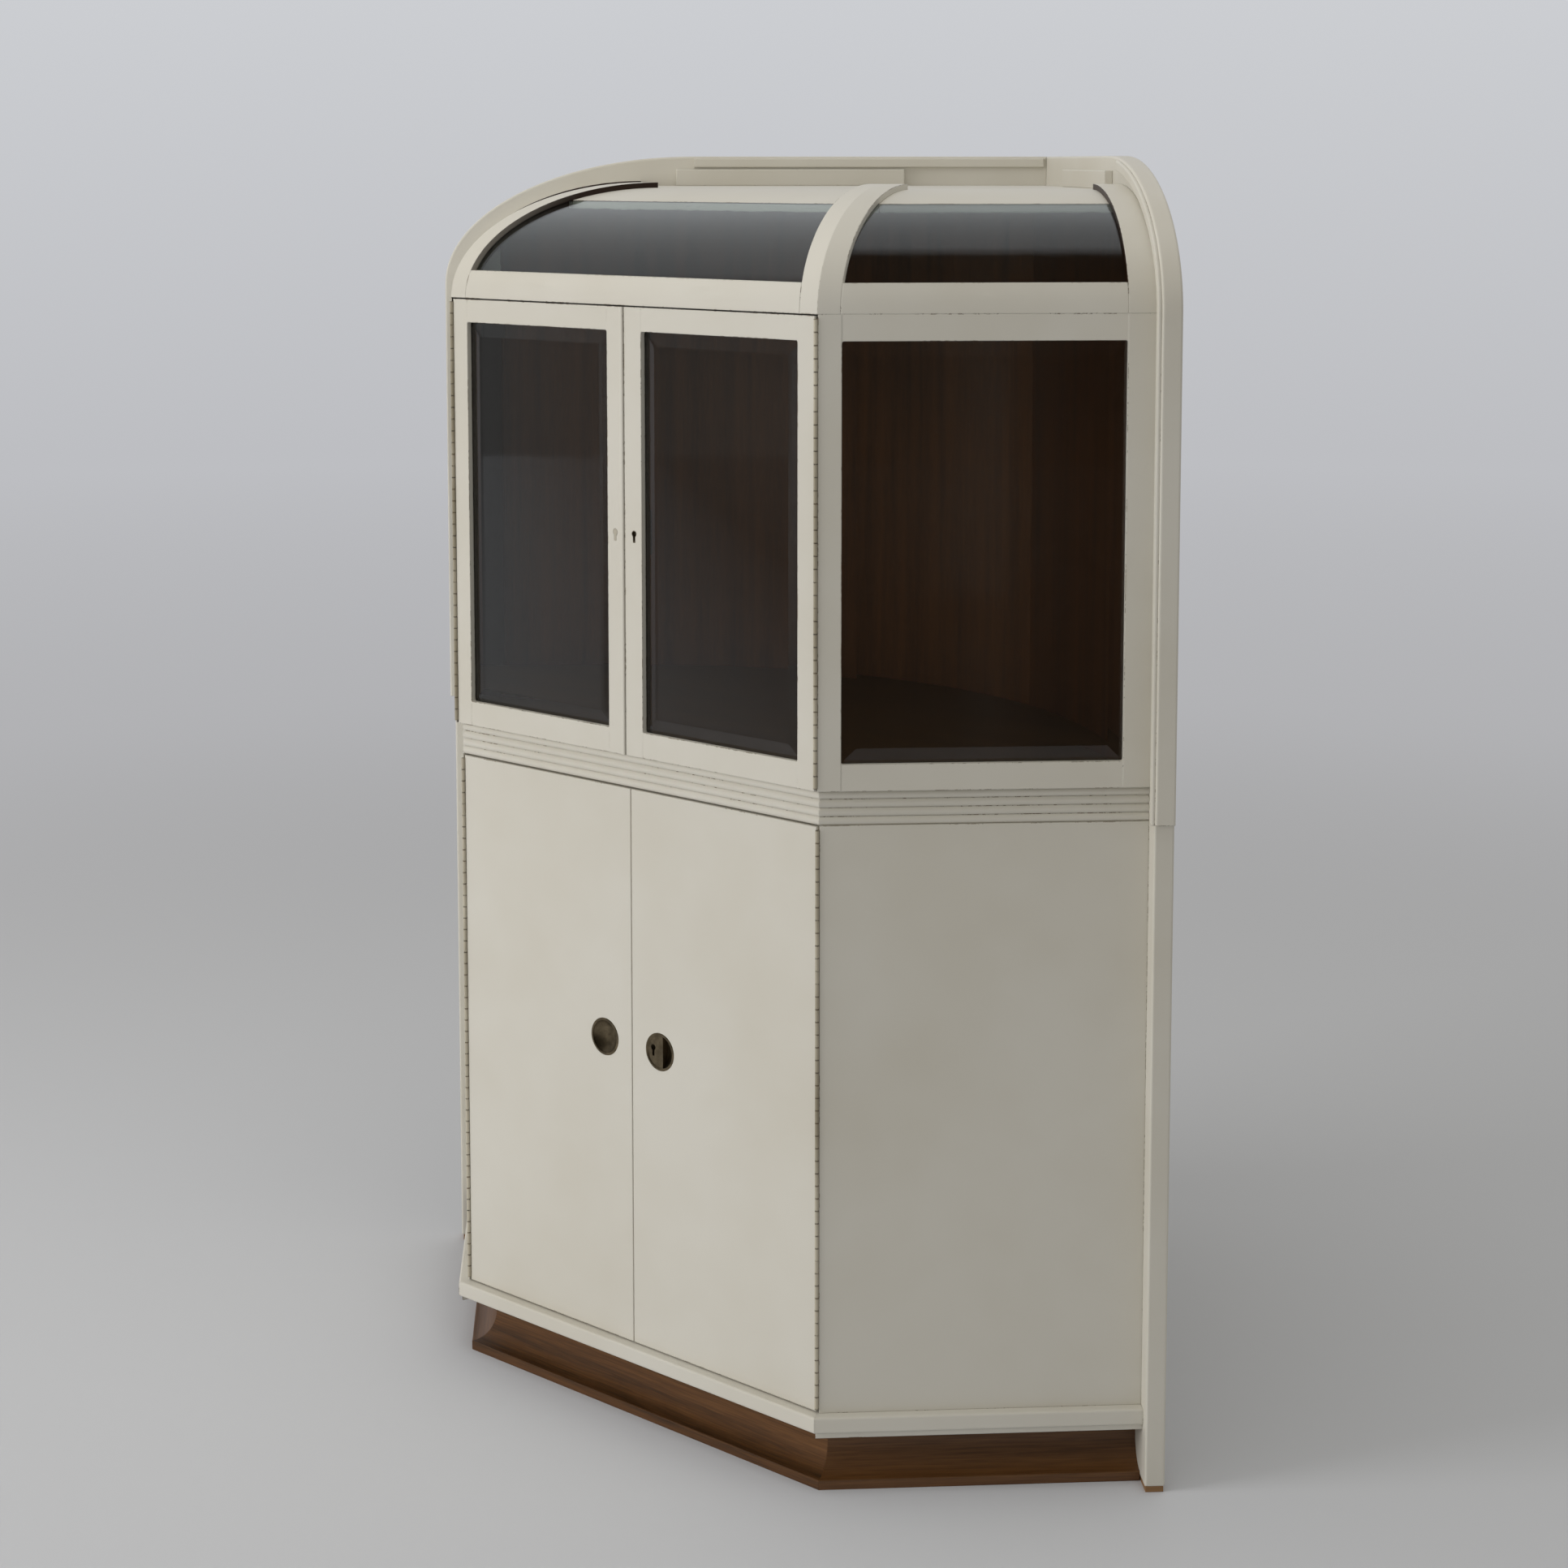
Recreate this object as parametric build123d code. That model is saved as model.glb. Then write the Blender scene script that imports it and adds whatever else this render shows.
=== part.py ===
from build123d import *
import math
import os

# A corner display cabinet: glazed upper cupboard with a coved glass hood, plain
# lower cupboard, and two wall boards that meet at a right angle in the room's corner.
# The plan is symmetrical: a flat front with a canted fixed side left and right.
# Millimetres. X runs to the right, Y runs back into the corner, Z is up.
# Plan depths are counted back from the face of the upper doors.

# Driving dimensions of the whole
total_height = 1850.0
front_width = 722.0
side_width = 457.0
cant_angle = 45.0
crest_rise = 210.0
hood_rise = 170.0
hood_run = 290.0
waist_height = 994.0
waist_gap = 1.0
reed_band_height = 48.0
slab_top = 113.0
slab_thickness = 23.0
lower_setback = 9.0

# Boards and panels
wall_board_thickness = 28.0
upper_board_reach = 34.0
lower_board_reach = 26.0
board_step_above_reeds = 3.0
board_foot_height = 10.0
board_edge_round = 3.0
arch_run = 410.0
side_frame_thickness = 22.0
door_thickness = 22.0
side_panel_thickness = 22.0
deck_thickness = 22.0
deck_rise = 6.0
base_board_thickness = 18.0
back_panel_thickness = 6.0
back_start = 55.0
back_flank_angle = 42.0
back_apex = 700.0
back_seam_offset = 229.0
shelf_thickness = 16.0
shelf_height = 520.0
shelf_setback = 70.0
batten_width = 20.0
batten_depth = 25.0
panel_edge_round = 1.0
fitting_gap = 0.2

# Mouldings
reed_count = 4
reed_rise = 4.0
slab_projection = 16.0
slab_depth = 38.0
slab_nose_round = 3.0
side_fillet_height = 8.0
side_fillet_setback = 5.0
plinth_recess = 41.0
plinth_foot_recess = 3.0
plinth_back = 64.0
plinth_cove_rise = 42.0
plinth_foot_height = 14.0
plinth_foot_step = 1.5
plinth_foot_round = 1.5
bead_width = 15.0
bead_thickness = 5.0
bead_round = 2.0
right_bead_end = 300.0
left_bead_start = 379.0

# Upper doors and side frames
stile_width = 31.0
side_stile_width = 33.0
end_stile_width = 39.0
top_rail_width = 36.0
bottom_rail_width = 37.0
door_top_gap = 2.0
meeting_gap = 1.4
glazing_lip = 8.0
rebate_width = 8.0
opening_corner_radius = 3.0
glass_thickness = 5.0
glass_edge_thickness = 2.0
glass_bevel = 21.0
glass_clearance = 1.0
glazing_bead_height = 7.0
meeting_bead_width = 7.0
meeting_bead_rise = 2.5
meeting_bead_round = 2.0

# Hood
hood_frame_thickness = 22.0
hood_bottom_rail = 41.0
hood_top_rail_start = 153.0
hip_rib_width = 31.0
end_rib_width = 39.0
hood_glass_lip = 8.0
hood_glass_thickness = 4.0
hood_rebate = 7.0

# Top battens on the wall boards
top_batten_start = 349.0
top_batten_length = 379.0
top_batten_height = 27.0
top_batten_thickness = 12.0

# Piano hinges
hinge_gap = 3.6
hinge_axis_proud = 1.2
knuckle_radius = 2.8
hinge_pin_radius = 1.2
hinge_pin_fit = 0.06
knuckle_length = 17.6
knuckle_gap = 0.3
leaf_thickness = 1.2
leaf_width = 18.0
leaf_clear_of_knuckle = 0.4
hinge_end_margin = 4.0
knuckle_relief = 0.4

# Locks, keyholes and pulls
keyhole_inset = 18.0
keyhole_width = 9.0
keyhole_height = 17.0
keyhole_slot = 4.5
keyhole_liner_wall = 1.0
keyhole_liner_depth = 5.0
lock_height = 1316.0
lock_case_width = 28.0
lock_case_height = 62.0
lock_case_depth = 12.0
lock_wall = 1.5
bolt_width = 14.0
bolt_height = 18.0
bolt_thickness = 5.0
bolt_travel = 8.0
bolt_clearance = 0.25
bolt_start_gap = 0.6
strike_width = 14.0
strike_height = 46.0
strike_clearance = 1.0
pull_height = 565.0
pull_inset = 55.0
pull_radius = 28.0
pull_depth = 11.0
pull_wall = 1.5
pull_rim = 4.0
pull_rim_rise = 0.8
pull_step = 1.2
pull_bowl_fullness = 0.75
pull_land = 1.0
pull_plate = 1.5
pull_plate_reach = 6.0
pull_key_offset = 13.0
lower_case_width = 70.0
door_bottom_gap = 2.0
door_head_gap = 2.0

# Heights that follow from the sizes above
springing_height = total_height - crest_rise
hood_top = springing_height + hood_rise
upper_bottom = waist_height
deck_top = waist_height + deck_rise
reed_top = waist_height - waist_gap
reed_bottom = reed_top - reed_band_height
board_step_height = reed_bottom + board_step_above_reeds
slab_bottom = slab_top - slab_thickness
roof_top = hood_top - hood_glass_lip

half_cant = math.radians(cant_angle / 2)
mitre = math.tan(half_cant)
diagonal = math.sqrt(2.0)

# Reach of the cutting and trimming bodies past what they cut
far = 3000.0
cut_over = 1.0
zone_front = -60.0
front_zone_depth = 420.0
side_zone_depth = 700.0

# Depth of the plan from the upper doors to the outer corner of the boards, which
# sets the origin at the middle of the box that holds the cabinet
corner_depth = front_width / 2 + side_width * diagonal
back_limit = corner_depth + wall_board_thickness * diagonal
front_limit = lower_setback - slab_projection
centre_shift = -(back_limit + front_limit) / 2
wall_length = front_width / diagonal + side_width

os.makedirs("parts", exist_ok=True)


def to_right(shape):
    """Places a piece drawn along the right side: X along the side, Y inwards."""
    return Location((front_width / 2, 0, 0), (0, 0, cant_angle)) * shape


def mirrored(shape):
    """The same piece on the other side of the middle."""
    return mirror(shape, about=Plane.YZ)


def to_left(shape):
    """Places a piece drawn along the right side on the left side."""
    return mirrored(to_right(shape))


def save(name, solids):
    """Writes one sub-part, moved so that the origin is at the middle of the base."""
    if not isinstance(solids, (list, tuple)):
        solids = [solids]
    pieces = []
    for solid in solids:
        pieces.extend(solid.solids())
    moved = [Pos(0, centre_shift, 0) * piece for piece in pieces]
    shape = moved[0] if len(moved) == 1 else Compound(children=moved)
    shape.label = name
    export_step(shape, f"parts/{name}.step")


def block(x0, x1, y0, y1, z0, z1):
    """A box between the given limits."""
    size = (x1 - x0, y1 - y0, z1 - z0)
    middle = ((x0 + x1) / 2, (y0 + y1) / 2, (z0 + z1) / 2)
    return Pos(*middle) * Box(*size)


def prism(points, z0, z1):
    """An upright prism on a plan outline."""
    face = make_face(Polyline(*points, close=True).edges())
    return Pos(0, 0, z0) * extrude(face, amount=z1 - z0, dir=(0, 0, 1))


def side_point(along, inward):
    """Plan point on the right side, from its own along and inward distances."""
    angle = math.radians(cant_angle)
    x = front_width / 2 + along * math.cos(angle) - inward * math.sin(angle)
    y = along * math.sin(angle) + inward * math.cos(angle)
    return (x, y)


def corner_point(inward):
    """Plan point on the mitre line between the front and the right side."""
    return (front_width / 2 - mitre * inward, inward)


def front_zone(z0, z1):
    """The space of the front, between the two mitre planes."""
    right = [corner_point(zone_front), corner_point(front_zone_depth)]
    left = [(-x, y) for x, y in reversed(right)]
    return prism(right + left, z0, z1)


def side_zone(z0, z1, start=0.0, end=0.0):
    """The space of the right side in its own axes, from mitre plane to board.

    The start and the end draw it in from that plane and from the board.
    """
    wall = side_width - end
    return prism(
        [
            (mitre * zone_front + start, zone_front),
            (wall, zone_front),
            (wall, side_zone_depth),
            (mitre * side_zone_depth + start, side_zone_depth),
        ],
        z0,
        z1,
    )


def pentagon(inward, z0, z1):
    """A board that fills the plan, set back from the front and the sides."""
    at_wall = side_point(side_width - fitting_gap, inward)
    apex = (0, corner_depth - fitting_gap * diagonal)
    right = [corner_point(inward), at_wall]
    left = [(-x, y) for x, y in reversed(right)]
    return prism(right + [apex] + left, z0, z1)


def rounded(solid):
    """Breaks every edge of a simple board by a small radius."""
    return fillet(solid.edges(), panel_edge_round)


def upright_rod(place, radius, z0, z1):
    """A round rod on a place of the plan, between two heights."""
    x, y = place
    return Pos(x, y, (z0 + z1) / 2) * Cylinder(radius, z1 - z0)


def level_rod(x, z, radius, y0, y1):
    """A round rod that runs from front to back, between two depths."""
    return Pos(x, (y0 + y1) / 2, z) * Rot(90, 0, 0) * Cylinder(radius, y1 - y0)


# Plinth: stained skirting with a wide cove over a low foot, mitred at the corners
def plinth_profile():
    face_in = lower_setback + plinth_recess
    foot_in = lower_setback + plinth_foot_recess
    back_in = lower_setback + plinth_back
    step_in = foot_in + plinth_foot_step
    round_start = plinth_foot_height - plinth_foot_round
    cove_end = plinth_foot_height + plinth_cove_rise
    with BuildSketch(Plane.YZ) as sketch:
        with BuildLine():
            Line((foot_in, 0), (back_in, 0))
            Line((back_in, 0), (back_in, slab_bottom))
            Line((back_in, slab_bottom), (face_in, slab_bottom))
            Line((face_in, slab_bottom), (face_in, cove_end))
            EllipticalCenterArc(
                (step_in, cove_end),
                face_in - step_in,
                plinth_cove_rise,
                start_angle=270,
                arc_size=90,
            )
            RadiusArc(
                (step_in, plinth_foot_height),
                (foot_in, round_start),
                -plinth_foot_round,
            )
            Line((foot_in, round_start), (foot_in, 0))
        make_face()
    return sketch.sketch


plinth_long = extrude(plinth_profile(), amount=far / 2, both=True)
plinth_front = plinth_long & front_zone(0, slab_bottom)
side_plinth_top = slab_bottom - side_fillet_height
plinth_side = plinth_long & side_zone(0, side_plinth_top)
save("plinth_front", plinth_front)
save("plinth_right", to_right(plinth_side))
save("plinth_left", to_left(plinth_side))

# Base slab: a projecting edge rail on three sides round the cupboard floor
slab_front_face = lower_setback - slab_projection
slab_rail_profile = block(
    -far / 2,
    far / 2,
    slab_front_face,
    slab_front_face + slab_depth,
    slab_bottom,
    slab_top,
)
slab_noses = slab_rail_profile.edges().filter_by(Axis.X).group_by(Axis.Y)[0]
slab_rail = fillet(slab_noses, slab_nose_round)
base_rail_front = slab_rail & front_zone(slab_bottom, slab_top)
base_rail_side = slab_rail & side_zone(slab_bottom, slab_top)
save(
    "base_rails",
    [base_rail_front, to_right(base_rail_side), to_left(base_rail_side)],
)

fillet_front = slab_front_face + side_fillet_setback
side_fillet = block(
    -far / 2,
    far / 2,
    fillet_front,
    lower_setback + plinth_back,
    side_plinth_top,
    slab_bottom,
)
side_fillet = side_fillet & side_zone(side_plinth_top, slab_bottom)
fillet_right = to_right(side_fillet)
fillet_right = fillet_right - plinth_front
save("base_fillets", [fillet_right, mirrored(fillet_right)])

floor_in = slab_front_face + slab_depth
base_board = pentagon(floor_in, slab_top - base_board_thickness, slab_top)
save("base_board", base_board)

# Wall boards: two wide boards that stand along the walls and carry the carcass
board_in = side_width
board_out = side_width + wall_board_thickness


def lower_wall_board(end):
    board = block(
        board_in,
        board_out,
        -lower_board_reach,
        end,
        board_foot_height,
        board_step_height,
    )
    nose = board.edges().filter_by(Axis.Z).group_by(Axis.Y)[0]
    return fillet(nose, board_edge_round)


def board_foot(end):
    reach = lower_board_reach - board_edge_round
    inset = board_edge_round / 2
    return block(
        board_in + inset, board_out - inset, -reach, end, 0, board_foot_height
    )


def arch_outline(inset, end, bottom):
    """Outline of the upper board, drawn in from its edge by the inset."""
    front = -upper_board_reach + inset
    centre = -upper_board_reach + arch_run
    rise = total_height - springing_height
    top = total_height - inset
    with BuildSketch(Plane.YZ) as sketch:
        with BuildLine():
            Line((front, bottom), (front, springing_height))
            EllipticalCenterArc(
                (centre, springing_height),
                arch_run - inset,
                rise - inset,
                start_angle=90,
                arc_size=90,
            )
            Line((centre, top), (end, top))
            Line((end, top), (end, bottom))
            Line((end, bottom), (front, bottom))
        make_face()
    return sketch.sketch


def upper_wall_board(end):
    outline = arch_outline(0, end, board_step_height)
    board = extrude(outline, amount=wall_board_thickness, dir=(1, 0, 0))
    board = Pos(board_in, 0, 0) * board
    front_edges = board.edges().filter_by(Axis.Z).group_by(Axis.Y)[0]
    arch_edges = board.edges().filter_by(GeomType.ELLIPSE)
    return fillet(front_edges + arch_edges, board_edge_round)


right_end = wall_length + wall_board_thickness
left_end = wall_length
save("wall_board_lower_right", to_right(lower_wall_board(right_end)))
save("wall_board_lower_left", to_left(lower_wall_board(left_end)))
save("wall_board_upper_right", to_right(upper_wall_board(right_end)))
save("wall_board_upper_left", to_left(upper_wall_board(left_end)))
board_feet = [to_right(board_foot(right_end)), to_left(board_foot(left_end))]
save("board_feet", board_feet)


# Bead that trims the arched edge of each upper board on its inner face
def arch_bead(end):
    inset = board_edge_round
    outer = arch_outline(inset, end, board_step_height)
    past_end, past_foot = end + cut_over, board_step_height - cut_over
    inner = arch_outline(inset + bead_width, past_end, past_foot)
    ring = outer - inner
    bead = extrude(ring, amount=bead_thickness, dir=(-1, 0, 0))
    bead = Pos(board_in, 0, 0) * bead
    face_edges = bead.faces().sort_by(Axis.X)[0].edges()
    long_edges = [edge for edge in face_edges if edge.length > 2 * bead_width]
    return fillet(long_edges, bead_round)


# The right bead ends past the arch, and the left one starts behind its own arch
right_reach = block(-far, far, -far, right_bead_end, 0, total_height)
left_reach = block(-far, far, left_bead_start, far, 0, total_height)
right_bead = to_right(arch_bead(wall_length) & right_reach)
left_bead = to_left(arch_bead(wall_length - bead_thickness) & left_reach)
save("arch_beads", [right_bead, left_bead])


# Lower sides: plain fixed panels between the front corners and the wall boards
def side_panel(face_in, thickness, z0, z1):
    """A fixed side, its front edge cut square to the doors for the hinge."""
    square_x = corner_point(face_in)[0]
    board = block(-far, side_width, face_in, face_in + thickness, z0, z1)
    keep = block(square_x, far, -far, far, z0, z1)
    return to_right(board) & keep


def hinge_place(face_in):
    """Plan place of the right hinge's axis for doors with this face."""
    return (corner_point(face_in)[0] - hinge_gap / 2, face_in - hinge_axis_proud)


def hinge_relief(face_in, z0, z1):
    """Round channel that keeps the wood clear of the knuckles."""
    radius = knuckle_radius + knuckle_relief
    low, high = z0 - cut_over, z1 + cut_over
    return upright_rod(hinge_place(face_in), radius, low, high)


lower_door_top = reed_bottom - door_head_gap
lower_door_bottom = slab_top + door_bottom_gap
upper_door_top = springing_height - door_top_gap
lower_side = side_panel(lower_setback, side_panel_thickness, slab_top, reed_bottom)
lower_relief = hinge_relief(lower_setback, slab_top, reed_bottom)
lower_side = lower_side - lower_relief
save("side_panel_lower_right", lower_side)
save("side_panel_lower_left", mirrored(lower_side))

# Cupboard shelf on battens that are screwed to the wall boards
shelf_front = lower_setback + door_thickness + shelf_setback
shelf = pentagon(shelf_front, shelf_height, shelf_height + shelf_thickness)
save("cupboard_shelf", shelf)
batten = block(
    side_width - batten_width,
    side_width,
    shelf_front + batten_depth,
    wall_length - batten_depth,
    shelf_height - batten_depth,
    shelf_height,
)
save("shelf_battens", [to_right(batten), to_left(batten)])

# Deck between the two cupboards: the display floor
deck_front = door_thickness + fitting_gap
deck_bottom = deck_top - deck_thickness
deck = pentagon(deck_front, deck_bottom, deck_top)
save("display_floor", deck)


# Reed band round the waist: rounded reeds, mitred at the corners
def reed_profile():
    pitch = (reed_top - reed_bottom) / reed_count
    crest = lower_setback
    groove = lower_setback + reed_rise
    back = deck_front
    with BuildSketch(Plane.YZ) as sketch:
        with BuildLine():
            for index in range(reed_count):
                low = reed_bottom + index * pitch
                ThreePointArc(
                    (groove, low), (crest, low + pitch / 2), (groove, low + pitch)
                )
            Line((groove, reed_top), (back, reed_top))
            Line((back, reed_top), (back, reed_bottom))
            Line((back, reed_bottom), (groove, reed_bottom))
        make_face()
    return sketch.sketch


reed_long = extrude(reed_profile(), amount=far / 2, both=True)
reed_front = reed_long & front_zone(reed_bottom, reed_top)
reed_side = reed_long & side_zone(reed_bottom, reed_top)
save("reed_bands", [reed_front, to_right(reed_side), to_left(reed_side)])
waist_rail_back = deck_front + batten_width
waist_rail = block(
    -front_width / 2 + mitre * deck_front + waist_rail_back,
    front_width / 2 - mitre * deck_front - waist_rail_back,
    deck_front,
    waist_rail_back,
    reed_bottom,
    deck_bottom,
)


# Glazed frames: two stiles and two rails round a rebated opening
def glazed_frame(x0, x1, z0, z1, left, right, bottom, top, face_in, thickness):
    """Four boards with the glass rebate cut from behind, as separate solids."""
    body = block(x0, x1, face_in, face_in + thickness, z0, z1)
    hole_x0, hole_x1 = x0 + left, x1 - right
    hole_z0, hole_z1 = z0 + bottom, z1 - top
    middle_x, middle_z = (hole_x0 + hole_x1) / 2, (hole_z0 + hole_z1) / 2
    plane = Plane(
        origin=(middle_x, face_in - cut_over, middle_z), x_dir=(1, 0, 0), z_dir=(0, 1, 0)
    )
    sketch = plane * RectangleRounded(
        hole_x1 - hole_x0, hole_z1 - hole_z0, opening_corner_radius
    )
    hole = extrude(sketch, amount=thickness + 2 * cut_over)
    rebate = block(
        hole_x0 - rebate_width,
        hole_x1 + rebate_width,
        face_in + glazing_lip,
        face_in + thickness + cut_over,
        hole_z0 - rebate_width,
        hole_z1 + rebate_width,
    )
    frame = body - hole - rebate
    y0, y1 = face_in, face_in + thickness
    cuts = [
        block(x0, hole_x0, y0, y1, z0, z1),
        block(hole_x1, x1, y0, y1, z0, z1),
        block(hole_x0, hole_x1, y0, y1, z0, middle_z),
        block(hole_x0, hole_x1, y0, y1, middle_z, z1),
    ]
    return [frame & cut for cut in cuts]


def bevelled_glass(x0, x1, z0, z1, face_in):
    """A plate for this opening: its thin edge seats on the lip from behind, and
    its bevelled middle stands forward in the opening."""
    over = rebate_width - glass_clearance
    edge_front = face_in + glazing_lip
    face_front = edge_front - (glass_thickness - glass_edge_thickness)
    width, height = x1 - x0, z1 - z0
    middle_x, middle_z = (x0 + x1) / 2, (z0 + z1) / 2
    edge_plane = Plane(
        origin=(middle_x, edge_front, middle_z), x_dir=(1, 0, 0), z_dir=(0, 1, 0)
    )
    face_plane = Plane(
        origin=(middle_x, face_front, middle_z), x_dir=(1, 0, 0), z_dir=(0, 1, 0)
    )
    edge_outline = edge_plane * Rectangle(width + 2 * over, height + 2 * over)
    bevel_start = edge_plane * Rectangle(
        width - 2 * glass_clearance, height - 2 * glass_clearance
    )
    flat_middle = face_plane * Rectangle(
        width - 2 * glass_bevel, height - 2 * glass_bevel
    )
    plate = extrude(edge_outline, amount=glass_edge_thickness)
    return plate + loft([bevel_start, flat_middle], ruled=True)


def glazing_beads(x0, x1, z0, z1, face_in, thickness):
    """Four strips that hold the plate in its rebate from behind."""
    outer = rebate_width - fitting_gap
    y0 = face_in + glazing_lip + glass_edge_thickness
    y1 = face_in + thickness
    inner = outer - glazing_bead_height
    verticals = [
        block(x0 - outer, x0 - inner, y0, y1, z0 - outer, z1 + outer),
        block(x1 + inner, x1 + outer, y0, y1, z0 - outer, z1 + outer),
    ]
    horizontals = [
        block(x0 - inner, x1 + inner, y0, y1, z0 - outer, z0 - inner),
        block(x0 - inner, x1 + inner, y0, y1, z1 + inner, z1 + outer),
    ]
    return verticals + horizontals


# Fixed glazed side of the upper cupboard
side_start = side_stile_width
side_end = side_width - end_stile_width
side_pieces = glazed_frame(
    -side_frame_thickness,
    side_width,
    upper_bottom,
    springing_height,
    side_stile_width + side_frame_thickness,
    end_stile_width,
    bottom_rail_width,
    top_rail_width,
    0,
    side_frame_thickness,
)
square_keep = block(front_width / 2, far, -far, far, 0, total_height)
upper_relief = hinge_relief(0, upper_bottom, springing_height)
side_frame = []
for piece in side_pieces:
    placed = to_right(piece) & square_keep
    side_frame.append(placed - upper_relief)
save("side_frame_right", side_frame)
save("side_frame_left", [mirrored(piece) for piece in side_frame])
opening_bottom = upper_bottom + bottom_rail_width
opening_top = springing_height - top_rail_width
side_glass = bevelled_glass(side_start, side_end, opening_bottom, opening_top, 0)
save("side_glass_right", to_right(side_glass))
save("side_glass_left", to_left(side_glass))
side_beads = glazing_beads(
    side_start, side_end, opening_bottom, opening_top, 0, side_frame_thickness
)
right_beads = [to_right(bead) for bead in side_beads]
left_beads = [to_left(bead) for bead in side_beads]
save("side_glazing_beads", right_beads + left_beads)


# Hood: curved frame of rails and ribs over the upper cupboard
def hood_body(offset):
    """Quarter-ellipse body drawn along X, set in from the hood's outer face."""
    rise = hood_top - springing_height
    with BuildSketch(Plane.YZ) as sketch:
        with BuildLine():
            EllipticalCenterArc(
                (hood_run, springing_height),
                hood_run - offset,
                rise - offset,
                start_angle=90,
                arc_size=90,
            )
            Line((offset, springing_height), (hood_run, springing_height))
            Line((hood_run, springing_height), (hood_run, hood_top - offset))
        make_face()
    return extrude(sketch.sketch, amount=far / 2, both=True)


def hood_shell(outer_offset, inner_offset):
    """Curved shell between two of those bodies."""
    return hood_body(outer_offset) - hood_body(inner_offset)


hood_frame = hood_shell(0, hood_frame_thickness)
glass_low = springing_height + hood_bottom_rail
glass_low_pocket = glass_low - hood_rebate
top_rail_shell = hood_shell(hood_glass_lip, hood_frame_thickness)
top_pocket_line = hood_top_rail_start + hood_rebate
pocket_shell = hood_shell(hood_glass_lip, hood_frame_thickness + fitting_gap)
pocket = pocket_shell & block(-far, far, 0, top_pocket_line, glass_low_pocket, hood_top)


def hood_rails(zone, between):
    """Bottom rail flush with the ribs, and top rail flush with the glass."""
    low_part = block(-far, far, 0, hood_run, springing_height, glass_low)
    top_part = block(-far, far, hood_top_rail_start, hood_run, glass_low, hood_top)
    bottom = hood_frame & zone & between & low_part
    top = top_rail_shell & zone & between & top_part
    return bottom - pocket, top - pocket


def inside_right(offset):
    """The space left of the right mitre plane, moved in by the offset."""
    x_front = corner_point(zone_front)[0] - offset
    x_deep = corner_point(front_zone_depth)[0] - offset
    return prism(
        [
            (-far, zone_front),
            (x_front, zone_front),
            (x_deep, front_zone_depth),
            (-far, front_zone_depth),
        ],
        0,
        total_height,
    )


def front_between(offset):
    """Front space between both mitre planes, moved in by the offset."""
    return inside_right(offset) & mirrored(inside_right(offset))


def side_between(start, end):
    """Side space, drawn in from the mitre plane and from the wall board."""
    return side_zone(0, total_height, start, end)


front_space = front_zone(springing_height, hood_top)
side_space = side_zone(springing_height, hood_top)
front_bottom, front_top = hood_rails(front_space, front_between(hip_rib_width))
side_middle = side_between(hip_rib_width, end_rib_width)
side_bottom, side_top = hood_rails(side_space, side_middle)
save("hood_bottom_rails", [front_bottom, to_right(side_bottom), to_left(side_bottom)])
save("hood_top_rails", [front_top, to_right(side_top), to_left(side_top)])

# Ribs: one on each hip, mitred from a front and a side half, and one at each board
front_pocket_space = pocket & front_between(hip_rib_width - hood_rebate)
side_pocket_space = pocket & side_between(
    hip_rib_width - hood_rebate, end_rib_width - hood_rebate
)
front_face = hood_frame & front_space
right_half = front_face - inside_right(hip_rib_width)
right_half = right_half - front_pocket_space
side_face = hood_frame & side_space
side_start_zone = side_between(0, 0) - side_between(hip_rib_width, -cut_over)
hip_side_half = (side_face & side_start_zone) - side_pocket_space
hip_rib = right_half + to_right(hip_side_half)
save("hip_ribs", [hip_rib, mirrored(hip_rib)])
end_zone = block(side_width - end_rib_width, side_width, -far, far, 0, total_height)
end_rib = (side_face & end_zone) - side_pocket_space
save("end_ribs", [to_right(end_rib), to_left(end_rib)])

# Bent glass: one curved plate in each face of the hood, bedded in the rebates
glass_back = hood_glass_lip + fitting_gap + hood_glass_thickness
pane_shell = hood_shell(hood_glass_lip + fitting_gap, glass_back)
pane_edge = hood_rebate - glass_clearance
pane_shell = pane_shell & block(
    -far,
    far,
    0,
    hood_top_rail_start + pane_edge,
    glass_low - pane_edge,
    hood_top,
)
front_pane = pane_shell & front_between(hip_rib_width - pane_edge)
side_pane = pane_shell & side_between(
    hip_rib_width - pane_edge, end_rib_width - pane_edge
)
save("hood_glass_front", front_pane)
save("hood_glass_right", to_right(side_pane))
save("hood_glass_left", to_left(side_pane))

# Roof board behind the hood, and a batten on each wall board above it
roof_bottom = hood_top - hood_frame_thickness
roof = pentagon(hood_run, roof_bottom, roof_top)
save("roof_board", roof)
top_batten = block(
    side_width - top_batten_thickness,
    side_width,
    top_batten_start,
    top_batten_start + top_batten_length,
    roof_top,
    roof_top + top_batten_height,
)
save("top_battens", [to_right(rounded(top_batten)), to_left(rounded(top_batten))])

# Bowed back of bent veneered board: a round middle with straight flanks that run
# onto the wall boards, in two lengths with one upright seam
back_slope = math.radians(back_flank_angle)
back_end_x, back_end_y = side_point(side_width, back_start)
back_crossing_y = back_end_y + back_end_x * math.tan(back_slope)
back_radius = (back_crossing_y - back_apex) / (1 / math.cos(back_slope) - 1)


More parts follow.
